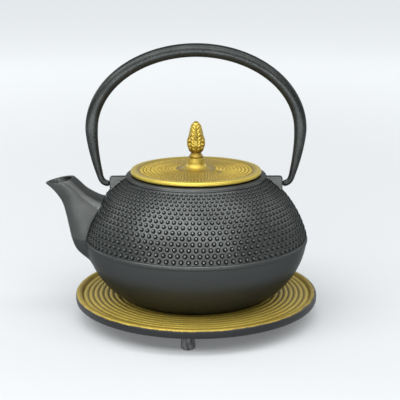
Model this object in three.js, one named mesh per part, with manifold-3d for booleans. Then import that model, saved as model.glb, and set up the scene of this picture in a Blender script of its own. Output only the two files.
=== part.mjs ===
// A cast-iron teapot on its own round trivet: a squat round pot with a spout and two ears, a swinging
// bail handle, a lift-out infuser, and a flat lid with a pine-cone knob.
// Millimetres, +Z up, standing on Z = 0. The spout points to -X and the handle swings about X.
import * as THREE from 'three';
import { mergeVertices } from 'three/addons/utils/BufferGeometryUtils.js';
import Module from 'manifold-3d';

const wasm = await Module();
wasm.setup();

// Trivet, from the table up.
const TRIVET_RADIUS = 90;
const TRIVET_UNDERSIDE = 12;
const TRIVET_SEAT = 16.7; // the ring tops that the pot stands on
const TRIVET_RIM_TOP = 18.5;
const TRIVET_RIM_WIDTH = 5;
const FOOT_COUNT = 3;
const FOOT_RADIUS = 5.2;
const FOOT_CIRCLE = 75.6;
const FOOT_FIRST_ANGLE = -94.3; // degrees from +X; one foot stands just left of the front
const FOOT_SPIGOT_RADIUS = 3;
const FOOT_SPIGOT_LENGTH = 3;
const SPIGOT_PLAY = 0.3;

// Pot, from its own base. Its outside is two arcs of revolution that meet at a raised band.
const BASE_RECESS_RADIUS = 48;
const BASE_RECESS_DEPTH = 1;
const BOWL = { r: 27.15, z: 47.3, radius: 55.1 };
const BAND = { radius: 82.3, bottom: 40.4, top: 43.6 };
const DOME = { r: 8.7, z: 25.65, radius: 74.3 };
const DOME_EDGE_RADIUS = 53.2;
const COLLAR = { radius: 51.4, foot: 86.7, shoulder: 88, topRadius: 49.3, top: 89.5 };
const WALL = 3.6;
const FLOOR_THICKNESS = 4;
const MOUTH_RADIUS = 39.2;
const LEDGE = { radius: 43.4, depth: 0.8 }; // the infuser's flange lies in it
const CEILING = { outer: 48.5, height: 84.9 };

// Spout: [low x, low z, high x, high z, half width] of each section, from the mouth into the pot.
const SPOUT_SECTIONS = [
  [-110.6, 82.9, -89.1, 87.1, 10.8],
  [-104.3, 77.2, -85.0, 83.1, 10.9],
  [-98.7, 69.3, -79.5, 77.8, 11.4],
  [-95.9, 60.3, -72.0, 73.4, 12.9],
  [-94.0, 50.8, -62.0, 68.8, 15.2],
  [-91.9, 41.3, -55.0, 58.3, 17.4],
  [-88.3, 33.3, -50.0, 45.3, 18.0],
  [-80.0, 25.5, -50.0, 33.3, 15.0],
];
const SPOUT_WALL = 2.5;
const SPOUT_TEARDROP = 0.14; // how much narrower a section is towards its low side
const CASTING_GAP = 0.3; // between the solids that the one casting is divided into

// Ears and the bail handle that turns in them.
const EAR = { outer: 63.4, inner: 48, top: 87.6, bottom: 74, corner: 2.2, thickness: 7 };
const PIVOT_HEIGHT = 82.3;
const PIN_RADIUS = 1.6;
const PIN_HOLE_RADIUS = 1.95;
const PIN_END = 57.6;
const PIN_HOLE_END = 57.2;
const PIN_SHOULDER = 64.4;
const ARCH = { z: 121.8, halfWidth: 75.7, height: 57.6 };
const LEG = { bendX: 75.5, bendZ: 107.5, endX: 70.2, endZ: 87.8 };
const HANDLE_RADIUS = { top: 4.9, legTop: 4.55, legFoot: 2.5, elbow: 2.2 };

// Lid and knob, from the collar's top face.
const LID = { radius: 47.8, restRadius: 43.8, edgeBottom: 0.8, edgeTop: 3.3, fieldRadius: 42 };
const LID_FIELD = { outer: 3.3, inner: 4.2, innerRadius: 12 };
const LID_BOSS = { radius: 6.9, foot: 8.4, top: 12.3 };
const LID_FLANGE = { inner: 33, outer: 36.4, bottom: -7.2 };
const STEAM_HOLE = { x: 14, y: -10.7, radius: 1.6 };
const STUD_RADIUS = 2;
const STUD_HOLE_RADIUS = 2.3;
const STUD_END = -5;
const KNOB = { foot: 5, waist: 4.5, belly: 6.9, height: 26.6 };
const WASHER = { radius: 6, thickness: 0.8 };
const NUT = { acrossCorners: 8.1, thickness: 3.2 };
const NUT_PLAY = 0.02;

// Infuser, from the collar's top face.
const INFUSER_FLANGE = { radius: 42.8, thickness: 0.75 };
const INFUSER_SKIRT = { outer: 38.4, inner: 37.9, bottom: -10 };
const INFUSER_WALL = { top: 37.6, foot: 34, thickness: 0.5, start: -1.2, bottom: -50 };
const INFUSER_BASE = { thickness: 0.8, lip: 4, play: 0.3 };

const ROUND = 48; // facets around the large turned parts
const SMALL_ROUND = 24;

/** A geometry as a manifold solid, its shared corners joined and its empty triangles dropped. */
function toSolid(geometry) {
  const bare = new THREE.BufferGeometry();
  bare.setAttribute('position', geometry.getAttribute('position').clone());
  bare.setIndex(geometry.index ? [...geometry.index.array] : null);
  const joined = mergeVertices(bare, 1e-4);
  const corners = joined.index.array;
  const triangles = [];
  for (let i = 0; i < corners.length; i += 3) {
    const [a, b, c] = [corners[i], corners[i + 1], corners[i + 2]];
    if (a !== b && b !== c && c !== a) triangles.push(a, b, c);
  }
  const vertProperties = new Float32Array(joined.getAttribute('position').array);
  const build = (list) =>
    new wasm.Manifold(new wasm.Mesh({ numProp: 3, vertProperties, triVerts: Uint32Array.from(list) }));
  const solid = build(triangles);
  return solid.volume() > 0 ? solid : build(triangles.reverse());
}

/** A manifold solid as a three.js geometry. */
function toGeometry(solid) {
  const { vertProperties, triVerts } = solid.getMesh();
  const geometry = new THREE.BufferGeometry();
  geometry.setAttribute('position', new THREE.Float32BufferAttribute(vertProperties, 3));
  geometry.setIndex([...triVerts]);
  const facets = geometry.toNonIndexed();
  facets.computeVertexNormals();
  return facets;
}

/** A solid turned about Z from a profile in (radius, height). */
function turned(profile, arcSteps = 5, segments = ROUND) {
  const geometry = new THREE.LatheGeometry(profile.getPoints(arcSteps), segments);
  geometry.rotateX(Math.PI / 2);
  return toSolid(geometry);
}

/** A closed solid through rings of points, each ring with the same count, capped at both ends. */
function loft(rings) {
  const count = rings[0].length;
  const positions = rings.flat().flatMap((point) => point.toArray());
  const index = [];
  for (let k = 0; k + 1 < rings.length; k += 1) {
    for (let i = 0; i < count; i += 1) {
      const [a, b] = [k * count + i, k * count + ((i + 1) % count)];
      index.push(a, b, a + count, b, b + count, a + count);
    }
  }
  const last = (rings.length - 1) * count;
  for (let i = 1; i + 1 < count; i += 1) {
    index.push(0, i + 1, i, last, last + i, last + i + 1);
  }
  const geometry = new THREE.BufferGeometry();
  geometry.setAttribute('position', new THREE.Float32BufferAttribute(positions, 3));
  geometry.setIndex(index);
  return toSolid(geometry);
}

/** A cylinder along an axis given as a rotation of three.js's own Y cylinder. */
function rod(radius, length, segments = SMALL_ROUND) {
  return new THREE.CylinderGeometry(radius, radius, length, segments);
}

const angleAtHeight = (arc, grow, z) => Math.asin((z - arc.z) / (arc.radius + grow));
const angleAtRadius = (arc, grow, r) => Math.acos((r - arc.r) / (arc.radius + grow));

/** The pot's outside without its spout and ears, larger all over by grow. */
function potOutside(grow = 0) {
  const profile = new THREE.Path();
  profile.moveTo(0, BASE_RECESS_DEPTH - grow);
  profile.lineTo(BASE_RECESS_RADIUS, BASE_RECESS_DEPTH - grow);
  profile.lineTo(BASE_RECESS_RADIUS + BASE_RECESS_DEPTH, -grow);
  const bowl = BOWL.radius + grow;
  const bowlStart = angleAtHeight(BOWL, grow, -grow);
  profile.absarc(BOWL.r, BOWL.z, bowl, bowlStart, angleAtHeight(BOWL, grow, BAND.bottom), false);
  profile.lineTo(BAND.radius + grow, BAND.bottom + 0.6);
  profile.lineTo(BAND.radius + grow, BAND.top - 0.6);
  const dome = DOME.radius + grow;
  const domeStart = angleAtHeight(DOME, grow, BAND.top);
  profile.absarc(DOME.r, DOME.z, dome, domeStart, angleAtRadius(DOME, grow, DOME_EDGE_RADIUS), false);
  profile.lineTo(COLLAR.radius + grow, COLLAR.foot);
  profile.lineTo(COLLAR.radius + grow, COLLAR.shoulder + grow);
  profile.lineTo(COLLAR.topRadius + grow, COLLAR.top + grow);
  profile.lineTo(0, COLLAR.top + grow);
  return turned(profile, 5);
}

/** Everything that is hollow in the pot, up through its mouth and the infuser's ledge. */
function potCavity() {
  const profile = new THREE.Path();
  profile.moveTo(0, FLOOR_THICKNESS);
  profile.lineTo(BASE_RECESS_RADIUS, FLOOR_THICKNESS);
  const bowlStart = angleAtHeight(BOWL, -WALL, FLOOR_THICKNESS);
  const meeting = BAND.bottom - 0.6;
  profile.absarc(BOWL.r, BOWL.z, BOWL.radius - WALL, bowlStart, angleAtHeight(BOWL, -WALL, meeting), false);
  const domeStart = angleAtHeight(DOME, -WALL, BAND.top);
  profile.absarc(DOME.r, DOME.z, DOME.radius - WALL, domeStart, angleAtRadius(DOME, -WALL, 50), false);
  profile.lineTo(CEILING.outer, CEILING.height - 0.6);
  profile.lineTo(MOUTH_RADIUS, CEILING.height);
  profile.lineTo(MOUTH_RADIUS, COLLAR.top - LEDGE.depth);
  profile.lineTo(LEDGE.radius, COLLAR.top - LEDGE.depth);
  profile.lineTo(LEDGE.radius, COLLAR.top + 1);
  profile.lineTo(0, COLLAR.top + 1);
  return turned(profile, 3);
}

/** The spout's outside, or its bore when an inset is given. The bore starts a little outside the mouth. */
function spoutLoft(inset = 0) {
  const sections = SPOUT_SECTIONS.map(([lowX, lowZ, highX, highZ, halfWidth]) => {
    const low = new THREE.Vector3(lowX, halfWidth - inset, lowZ);
    const high = new THREE.Vector3(highX, halfWidth - inset, highZ);
    const across = high.clone().sub(low).setY(0).normalize().multiplyScalar(inset);
    return { low: low.add(across), high: high.sub(across) };
  });
  if (inset > 0) {
    const [mouth, next] = sections;
    const outside = (side) => mouth[side].clone().lerp(next[side], -0.5);
    sections.unshift({ low: outside('low'), high: outside('high') });
  }
  const lowCurve = new THREE.CatmullRomCurve3(sections.map((section) => section.low));
  const highCurve = new THREE.CatmullRomCurve3(sections.map((section) => section.high));
  const steps = 2 * (sections.length - 1);
  const around = 24;
  const rings = [];
  for (let k = 0; k <= steps; k += 1) {
    const low = lowCurve.getPoint(k / steps);
    const high = highCurve.getPoint(k / steps);
    const middle = low.clone().add(high).multiplyScalar(0.5);
    const ring = [];
    for (let i = 0; i < around; i += 1) {
      const turn = (2 * Math.PI * i) / around;
      const width = middle.y * Math.sin(turn) * (1 - SPOUT_TEARDROP * Math.cos(turn));
      const point = middle.clone().lerp(low, Math.cos(turn));
      ring.push(point.setY(width));
    }
    rings.push(ring);
  }
  return loft(rings);
}

/** The blind hole for the handle's pin, in the ear and the wall behind it. side is -1 or 1. */
function pinHole(side) {
  const length = EAR.outer + 2 - PIN_HOLE_END;
  const geometry = rod(PIN_HOLE_RADIUS, length, 16);
  geometry.rotateZ(Math.PI / 2);
  geometry.translate(side * (PIN_HOLE_END + length / 2), 0, PIVOT_HEIGHT);
  return toSolid(geometry);
}

function potShell() {
  return potOutside()
    .subtract(potCavity())
    .subtract(spoutLoft(SPOUT_WALL))
    .subtract(pinHole(-1))
    .subtract(pinHole(1));
}

function spout() {
  return spoutLoft().subtract(spoutLoft(SPOUT_WALL)).subtract(potOutside(CASTING_GAP));
}

function ear(side) {
  const outline = new THREE.Shape();
  outline.moveTo(EAR.inner, EAR.bottom);
  outline.lineTo(EAR.outer, EAR.bottom);
  outline.absarc(EAR.outer - EAR.corner, EAR.top - EAR.corner, EAR.corner, 0, Math.PI / 2, false);
  outline.lineTo(EAR.inner, EAR.top);
  outline.closePath();
  const plate = new THREE.ExtrudeGeometry(outline, {
    depth: EAR.thickness, bevelEnabled: false, curveSegments: 4,
  });
  plate.translate(0, 0, -EAR.thickness / 2);
  plate.rotateX(Math.PI / 2);
  if (side < 0) plate.rotateZ(Math.PI);
  return toSolid(plate).subtract(potOutside(CASTING_GAP)).subtract(pinHole(side));
}

/** The handle's centre line on the +X side, from the pin's end up to the top of the arch. */
function halfHandlePath() {
  const elbowX = LEG.endX - ((LEG.bendX - LEG.endX) * (LEG.endZ - PIVOT_HEIGHT)) / (LEG.bendZ - LEG.endZ);
  const point = (x, z) => new THREE.Vector2(x, z);
  const leg = new THREE.QuadraticBezierCurve(
    point(LEG.endX, LEG.endZ), point(LEG.bendX, LEG.bendZ), point(ARCH.halfWidth, ARCH.z));
  const elbow = new THREE.QuadraticBezierCurve(
    point(PIN_SHOULDER, PIVOT_HEIGHT), point(elbowX, PIVOT_HEIGHT), point(LEG.endX, LEG.endZ));
  const arch = new THREE.EllipseCurve(0, ARCH.z, ARCH.halfWidth, ARCH.height, 0, Math.PI / 2);
  const path = [point(PIN_END, PIVOT_HEIGHT), point(PIN_SHOULDER - 0.4, PIVOT_HEIGHT)];
  path.push(...elbow.getPoints(5), ...leg.getPoints(6).slice(1), ...arch.getPoints(12).slice(1));
  return path;
}

function handleRadius(x, z) {
  if (x < PIN_SHOULDER) return PIN_RADIUS;
  if (z < LEG.endZ) return HANDLE_RADIUS.elbow;
  const { legFoot, legTop, top } = HANDLE_RADIUS;
  if (z < ARCH.z) return THREE.MathUtils.mapLinear(z, LEG.endZ, ARCH.z, legFoot, legTop);
  return THREE.MathUtils.mapLinear(z, ARCH.z, ARCH.z + ARCH.height, legTop, top);
}

function handle() {
  const right = halfHandlePath();
  const left = right.slice(0, -1).reverse();
  const path = [
    ...right.map((p) => ({ x: p.x, z: p.y, radius: handleRadius(p.x, p.y) })),
    ...left.map((p) => ({ x: -p.x, z: p.y, radius: handleRadius(p.x, p.y) })),
  ];
  const half = right.length - 1;
  for (const p of path.slice(half - 11, half + 12)) p.radius = handleRadius(ARCH.halfWidth, p.z);
  const sides = 12;
  const rings = path.map((p, i) => {
    const before = path[Math.max(i - 1, 0)];
    const after = path[Math.min(i + 1, path.length - 1)];
    const run = new THREE.Vector3(after.x - before.x, 0, after.z - before.z).normalize();
    const across = new THREE.Vector3(-run.z, 0, run.x);
    const ring = [];
    for (let k = 0; k < sides; k += 1) {
      const turn = (2 * Math.PI * k) / sides;
      const point = new THREE.Vector3(p.x, 0, p.z);
      point.addScaledVector(across, p.radius * Math.cos(turn));
      ring.push(point.setY(p.radius * Math.sin(turn)));
    }
    return ring;
  });
  return loft(rings);
}

function trivetPlate() {
  const rimInner = TRIVET_RADIUS - TRIVET_RIM_WIDTH;
  const profile = new THREE.Path();
  profile.moveTo(0, TRIVET_UNDERSIDE);
  profile.lineTo(TRIVET_RADIUS - 1.5, TRIVET_UNDERSIDE);
  profile.lineTo(TRIVET_RADIUS, TRIVET_UNDERSIDE + 1.5);
  profile.lineTo(TRIVET_RADIUS, TRIVET_RIM_TOP - 1.6);
  profile.lineTo(TRIVET_RADIUS - 1.2, TRIVET_RIM_TOP - 0.3);
  profile.lineTo(TRIVET_RADIUS - TRIVET_RIM_WIDTH / 2, TRIVET_RIM_TOP);
  profile.lineTo(rimInner + 0.8, TRIVET_RIM_TOP - 0.4);
  profile.lineTo(rimInner, TRIVET_SEAT);
  profile.lineTo(0, TRIVET_SEAT);
  let plate = turned(profile, 1, 64);
  for (const { x, y } of footPlaces()) {
    const hole = rod(FOOT_SPIGOT_RADIUS + SPIGOT_PLAY, FOOT_SPIGOT_LENGTH + 1, 16);
    hole.rotateX(Math.PI / 2);
    hole.translate(x, y, TRIVET_UNDERSIDE + (FOOT_SPIGOT_LENGTH - 1) / 2 + SPIGOT_PLAY);
    plate = plate.subtract(toSolid(hole));
  }
  return plate;
}

function footPlaces() {
  return Array.from({ length: FOOT_COUNT }, (_, i) => {
    const angle = THREE.MathUtils.degToRad(FOOT_FIRST_ANGLE + (360 * i) / FOOT_COUNT);
    return { x: FOOT_CIRCLE * Math.cos(angle), y: FOOT_CIRCLE * Math.sin(angle) };
  });
}

/** A foot about its own axis: a short post, a little rounded at the bottom, with a spigot on top. */
function foot() {
  const profile = new THREE.Path();
  profile.moveTo(0, 0);
  profile.lineTo(FOOT_RADIUS - 1.2, 0);
  profile.lineTo(FOOT_RADIUS, 1.2);
  profile.lineTo(FOOT_RADIUS - 0.3, TRIVET_UNDERSIDE);
  profile.lineTo(FOOT_SPIGOT_RADIUS, TRIVET_UNDERSIDE);
  profile.lineTo(FOOT_SPIGOT_RADIUS, TRIVET_UNDERSIDE + FOOT_SPIGOT_LENGTH);
  profile.lineTo(0, TRIVET_UNDERSIDE + FOOT_SPIGOT_LENGTH);
  return turned(profile, 1, 16);
}

function lidPlate() {
  const profile = new THREE.Path();
  profile.moveTo(STUD_HOLE_RADIUS, 0);
  profile.lineTo(LID_FLANGE.inner, 0);
  profile.lineTo(LID_FLANGE.inner, LID_FLANGE.bottom);
  profile.lineTo(LID_FLANGE.outer, LID_FLANGE.bottom);
  profile.lineTo(LID_FLANGE.outer, 0);
  profile.lineTo(LID.restRadius, 0);
  profile.lineTo(LID.restRadius, LID.edgeBottom);
  profile.lineTo(LID.radius - 0.5, LID.edgeBottom);
  profile.lineTo(LID.radius, LID.edgeBottom + 0.6);
  profile.lineTo(LID.radius, LID.edgeTop - 0.9);
  profile.lineTo(LID.radius - 1, LID.edgeTop);
  profile.lineTo(LID.fieldRadius, LID.edgeTop);
  profile.lineTo(LID_FIELD.innerRadius, LID_FIELD.inner);
  profile.lineTo(LID_BOSS.radius + 0.8, LID_BOSS.foot - 2);
  profile.lineTo(LID_BOSS.radius, LID_BOSS.foot);
  profile.lineTo(LID_BOSS.radius, LID_BOSS.top);
  profile.lineTo(STUD_HOLE_RADIUS, LID_BOSS.top);
  profile.closePath();
  const steamHole = rod(STEAM_HOLE.radius, 12, 12);
  steamHole.rotateX(Math.PI / 2);
  steamHole.translate(STEAM_HOLE.x, STEAM_HOLE.y, 2);
  return turned(profile, 1).subtract(toSolid(steamHole));
}

/** The pine-cone knob's outline and the stud under it, from the lid boss's top. */
function knob() {
  const profile = new THREE.Path();
  profile.moveTo(0, STUD_END - LID_BOSS.top);
  profile.lineTo(STUD_RADIUS, STUD_END - LID_BOSS.top);
  profile.lineTo(STUD_RADIUS, 0);
  profile.lineTo(KNOB.foot, 0);
  profile.lineTo(KNOB.foot, 1.6);
  profile.lineTo(KNOB.waist, 2.4);
  profile.bezierCurveTo(KNOB.belly, 6, KNOB.belly + 1.6, 13, KNOB.belly - 1.6, 19);
  profile.bezierCurveTo(4.2, 22, 3, KNOB.height - 0.4, 0, KNOB.height);
  return turned(profile, 6, SMALL_ROUND);
}

function knobWasher() {
  const profile = new THREE.Path();
  profile.moveTo(STUD_HOLE_RADIUS, 0);
  profile.lineTo(WASHER.radius, 0);
  profile.lineTo(WASHER.radius, WASHER.thickness);
  profile.lineTo(STUD_HOLE_RADIUS, WASHER.thickness);
  profile.closePath();
  return turned(profile, 1, SMALL_ROUND);
}

function knobNut() {
  const outside = rod(NUT.acrossCorners / 2, NUT.thickness, 6);
  const hole = rod(STUD_RADIUS + NUT_PLAY, NUT.thickness + 2);
  return toSolid(outside.rotateX(Math.PI / 2)).subtract(toSolid(hole.rotateX(Math.PI / 2)));
}

function infuserRim() {
  const profile = new THREE.Path();
  profile.moveTo(INFUSER_SKIRT.inner, INFUSER_SKIRT.bottom);
  profile.lineTo(INFUSER_SKIRT.outer, INFUSER_SKIRT.bottom);
  profile.lineTo(INFUSER_SKIRT.outer, -INFUSER_FLANGE.thickness);
  profile.lineTo(INFUSER_FLANGE.radius, -INFUSER_FLANGE.thickness);
  profile.lineTo(INFUSER_FLANGE.radius, -0.05);
  profile.lineTo(INFUSER_SKIRT.inner, -0.05);
  profile.closePath();
  return turned(profile, 1);
}

function infuserWall() {
  const { top, foot: bottomRadius, thickness, start, bottom } = INFUSER_WALL;
  const profile = new THREE.Path();
  profile.moveTo(bottomRadius - thickness, bottom);
  profile.lineTo(bottomRadius, bottom);
  profile.lineTo(top, INFUSER_SKIRT.bottom);
  profile.lineTo(top, start);
  profile.lineTo(top - thickness, start);
  profile.lineTo(top - thickness, INFUSER_SKIRT.bottom);
  profile.closePath();
  return turned(profile, 1);
}

/** A shallow pan under the wall, its lip turned up outside it. */
function infuserBase() {
  const { thickness, lip, play } = INFUSER_BASE;
  const { top, foot: wallFoot, bottom } = INFUSER_WALL;
  const spread = ((top - wallFoot) * lip) / (INFUSER_SKIRT.bottom - bottom);
  const inner = wallFoot + play;
  const profile = new THREE.Path();
  profile.moveTo(0, bottom - play - thickness);
  profile.lineTo(inner + thickness, bottom - play - thickness);
  profile.lineTo(inner + spread + thickness, bottom + lip);
  profile.lineTo(inner + spread, bottom + lip);
  profile.lineTo(inner, bottom - play);
  profile.lineTo(0, bottom - play);
  return turned(profile, 1);
}

function iron() {
  return new THREE.MeshStandardMaterial({ color: 0x3a3c3d, roughness: 0.5, metalness: 0.3 });
}

function goldPaint() {
  return new THREE.MeshStandardMaterial({ color: 0xb79b45, roughness: 0.42, metalness: 0.7 });
}

function steel() {
  return new THREE.MeshStandardMaterial({ color: 0xb9bcbf, roughness: 0.3, metalness: 1 });
}

function piece(name, solid, material) {
  const mesh = new THREE.Mesh(toGeometry(solid), material);
  mesh.name = name;
  return mesh;
}

const trivet = new THREE.Group();
trivet.add(piece('trivet_plate', trivetPlate(), goldPaint()));
footPlaces().forEach(({ x, y }, i) => {
  const post = piece(`trivet_foot_${i + 1}`, foot(), iron());
  post.position.set(x, y, 0);
  trivet.add(post);
});

const pot = new THREE.Group();
pot.position.z = TRIVET_SEAT;
pot.add(piece('pot_shell', potShell(), iron()));
pot.add(piece('spout', spout(), iron()));
pot.add(piece('ear_left', ear(-1), iron()));
pot.add(piece('ear_right', ear(1), iron()));
pot.add(piece('handle', handle(), iron()));

const infuser = new THREE.Group();
infuser.position.z = COLLAR.top;
infuser.add(piece('infuser_rim', infuserRim(), steel()));
infuser.add(piece('infuser_wall', infuserWall(), steel()));
infuser.add(piece('infuser_base', infuserBase(), steel()));

const lid = new THREE.Group();
lid.position.z = COLLAR.top;
const knobPiece = piece('knob', knob(), goldPaint());
knobPiece.position.z = LID_BOSS.top;
const washer = piece('knob_washer', knobWasher(), steel());
washer.position.z = -WASHER.thickness;
const nut = piece('knob_nut', knobNut(), steel());
nut.position.z = -WASHER.thickness - NUT.thickness / 2;
lid.add(piece('lid_plate', lidPlate(), goldPaint()), knobPiece, washer, nut);
pot.add(infuser, lid);

// The pot and trivet share an axis; the whole is set so that its box is centred over the origin.
const teapot = new THREE.Group();
teapot.position.x = (-SPOUT_SECTIONS[0][0] - TRIVET_RADIUS) / 2;
teapot.add(trivet, pot);

export default teapot;
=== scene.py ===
# %% [markdown]
# # A cast-iron teapot on its trivet
# A squat round pot of black-enamelled cast iron, with a hobnail shoulder, a side spout and a bail
# handle that swings in two ears. Its flat lid and its round trivet are painted gold, and a steel
# infuser hangs in its mouth. The set of hard parts comes with its sizes already fixed, so every
# piece below is built on those sizes and only gains shape detail and a finish.

# %% The fixed parts
import math

import bmesh
import bpy
import numpy as np
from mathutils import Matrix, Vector
from mathutils.bvhtree import BVHTree


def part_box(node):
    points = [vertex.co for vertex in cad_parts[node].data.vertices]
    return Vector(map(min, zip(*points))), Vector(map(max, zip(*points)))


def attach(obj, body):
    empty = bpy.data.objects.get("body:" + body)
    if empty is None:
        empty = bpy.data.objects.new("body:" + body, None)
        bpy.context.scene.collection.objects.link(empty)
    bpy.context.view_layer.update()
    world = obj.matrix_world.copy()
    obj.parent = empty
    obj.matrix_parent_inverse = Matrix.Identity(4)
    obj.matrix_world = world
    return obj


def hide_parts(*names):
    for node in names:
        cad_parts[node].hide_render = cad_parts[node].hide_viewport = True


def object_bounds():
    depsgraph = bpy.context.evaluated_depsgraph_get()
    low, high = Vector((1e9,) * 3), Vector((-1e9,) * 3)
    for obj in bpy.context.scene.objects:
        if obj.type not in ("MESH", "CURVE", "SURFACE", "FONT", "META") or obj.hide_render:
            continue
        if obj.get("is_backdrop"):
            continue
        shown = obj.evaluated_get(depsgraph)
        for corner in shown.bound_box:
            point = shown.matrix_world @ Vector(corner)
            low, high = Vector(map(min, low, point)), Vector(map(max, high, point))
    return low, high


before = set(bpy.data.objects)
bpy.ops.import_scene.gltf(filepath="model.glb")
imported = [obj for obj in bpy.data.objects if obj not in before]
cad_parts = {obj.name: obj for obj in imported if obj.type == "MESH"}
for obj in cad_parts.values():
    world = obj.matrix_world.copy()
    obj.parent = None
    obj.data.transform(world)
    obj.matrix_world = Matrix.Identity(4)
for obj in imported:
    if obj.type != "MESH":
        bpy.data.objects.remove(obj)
cad_low, cad_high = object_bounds()
print("parts:", sorted(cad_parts))

# %% [markdown]
# All drawing below is in millimetres, because a founder's drawing of a teapot would be too. Three
# heights and one axis tie the drawing to the fixed parts: the pot's own base, the face that the lid
# rests on, and the upright axis that the trivet, pot and lid share.

# %% Where things stand
MM = 0.001
AXIS_X = sum(corner.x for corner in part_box("lid_plate")) / 2 / MM
POT_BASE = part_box("pot_shell")[0].z / MM
LID_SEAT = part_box("pot_shell")[1].z / MM
TRIVET_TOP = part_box("trivet_plate")[1].z / MM
print(f"axis {AXIS_X:.1f}, pot base {POT_BASE:.1f}, lid seat {LID_SEAT:.1f} mm")

# %% [markdown]
# Cast and turned ware is nearly all surfaces of revolution. A modeller could spin a curve with the
# Screw modifier, but rings of points that are worked out directly can also be bent, dented and cut
# afterwards, so one small helper turns any outline of (radius, height) pairs into a closed skin.

# %% A mesh from points, and a turned skin
def make_object(name, points, faces):
    """An object from points in millimetres, its faces turned outwards."""
    mesh = bpy.data.meshes.new(name)
    mesh.from_pydata((np.asarray(points, float) * MM).tolist(), [], faces)
    mesh.update()
    work = bmesh.new()
    work.from_mesh(mesh)
    if work.calc_volume(signed=True) < 0:
        bmesh.ops.reverse_faces(work, faces=work.faces)
        work.to_mesh(mesh)
    work.free()
    thing = bpy.data.objects.new(name, mesh)
    bpy.context.scene.collection.objects.link(thing)
    return thing


def ring_faces(low, high):
    """Faces between two rings of point numbers; a ring of one number is a tip."""
    count = max(len(low), len(high))
    faces = []
    for i in range(count):
        j = (i + 1) % count
        if len(low) == 1:
            faces.append((low[0], high[j], high[i]))
        elif len(high) == 1:
            faces.append((low[i], low[j], high[0]))
        else:
            faces.append((low[i], low[j], high[j], high[i]))
    return faces


def turned(name, outline, around=200, closed=False, height=0.0, centre=(None, 0.0), reach=None):
    """A skin turned from (radius, height) pairs. reach(angle, r, z) may change a point's radius."""
    x0 = AXIS_X if centre[0] is None else centre[0]
    angles = 2 * np.pi * np.arange(around) / around
    points, rings, faces = [], [], []
    for r, z in outline:
        first = len(points)
        if r < 1e-6:
            points.append((x0, centre[1], z + height))
            rings.append([first])
            continue
        radii = np.full(around, float(r)) if reach is None else reach(angles, r, z)
        for a, radius in zip(angles, radii):
            points.append((x0 + radius * math.cos(a), centre[1] + radius * math.sin(a), z + height))
        rings.append(list(range(first, first + around)))
    for low, high in zip(rings, rings[1:] + rings[:1] if closed else rings[1:]):
        faces += ring_faces(low, high)
    return make_object(name, points, faces)


def arc(centre, radius, start, end, steps):
    """Points on an arc in the (radius, height) plane, angles in degrees."""
    return [
        (centre[0] + radius * math.cos(t), centre[1] + radius * math.sin(t))
        for t in np.radians(np.linspace(start, end, steps))
    ]


def bezier(p, q, s, steps):
    """Points on the bend that leaves p towards q and arrives at s."""
    return [
        tuple((1 - t) ** 2 * a + 2 * t * (1 - t) * b + t * t * c for a, b, c in zip(p, q, s))
        for t in np.linspace(0, 1, steps)
    ]


# %% [markdown]
# Parts of one casting have to be one skin, so they are joined and cut with Boolean modifiers. The
# Manifold solver is fast and exact on closed skins, which all of these are. Shading stays smooth
# except where two faces meet at more than a set angle.

# %% Joining, cutting and shading
def settle(thing):
    """Applies the modifiers on thing."""
    graph = bpy.context.evaluated_depsgraph_get()
    done = bpy.data.meshes.new_from_object(thing.evaluated_get(graph))
    thing.modifiers.clear()
    old, thing.data = thing.data, done
    bpy.data.meshes.remove(old)
    return thing


def combine(thing, tool, operation):
    """Adds tool to thing (UNION) or cuts it away (DIFFERENCE), and drops the tool."""
    step = thing.modifiers.new(operation, "BOOLEAN")
    step.solver = "MANIFOLD"
    step.operation = operation
    step.object = tool
    settle(thing)
    bpy.data.objects.remove(tool)
    return thing


def shade(thing, angle=40):
    """Smooth shading, with a crease where faces meet at more than angle degrees."""
    mesh = thing.data
    mesh.polygons.foreach_set("use_smooth", [True] * len(mesh.polygons))
    mesh.set_sharp_from_angle(angle=math.radians(angle))
    mesh.update()
    return thing


def finish(thing, body, material, slot, *nodes):
    """Gives a piece its material and body, and lets it stand for its plain parts. slot is not used.
    """
    thing.data.materials.clear()
    thing.data.materials.append(material)
    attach(thing, body)
    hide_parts(*nodes)
    print(f"{thing.name}: {len(thing.data.polygons)} faces")
    return thing


# %% [markdown]
# ## Finishes
# A painted casting never has one colour. Each finish below starts from a Principled shader and gets
# three things from noise that is fixed to the piece: a drift of colour, a drift of roughness, and a
# fine bump for the grain of the sand mould under the paint.

# %% Small helpers for shader nodes
def new_material(name):
    material = bpy.data.materials.new(name)
    material.use_nodes = True
    shader = material.node_tree.nodes["Principled BSDF"]
    return material, material.node_tree, shader


def noise(tree, scale, detail=4, rough=0.55, stretch=None):
    """A noise pattern in the piece's own coordinates; scale is in waves per metre."""
    place = tree.nodes.new("ShaderNodeTexCoord")
    source = place.outputs["Object"]
    if stretch is not None:
        mapping = tree.nodes.new("ShaderNodeMapping")
        mapping.inputs["Scale"].default_value = stretch
        tree.links.new(source, mapping.inputs["Vector"])
        source = mapping.outputs["Vector"]
    node = tree.nodes.new("ShaderNodeTexNoise")
    node.inputs["Scale"].default_value = scale
    node.inputs["Detail"].default_value = detail
    node.inputs["Roughness"].default_value = rough
    tree.links.new(source, node.inputs["Vector"])
    return node.outputs["Fac"]


def remap(tree, value, low, high, to_low=0.0, to_high=1.0):
    """Stretches the part of value between low and high onto to_low and to_high."""
    node = tree.nodes.new("ShaderNodeMapRange")
    node.inputs["From Min"].default_value = low
    node.inputs["From Max"].default_value = high
    node.inputs["To Min"].default_value = to_low
    node.inputs["To Max"].default_value = to_high
    tree.links.new(value, node.inputs["Value"])
    return node.outputs["Result"]


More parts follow.
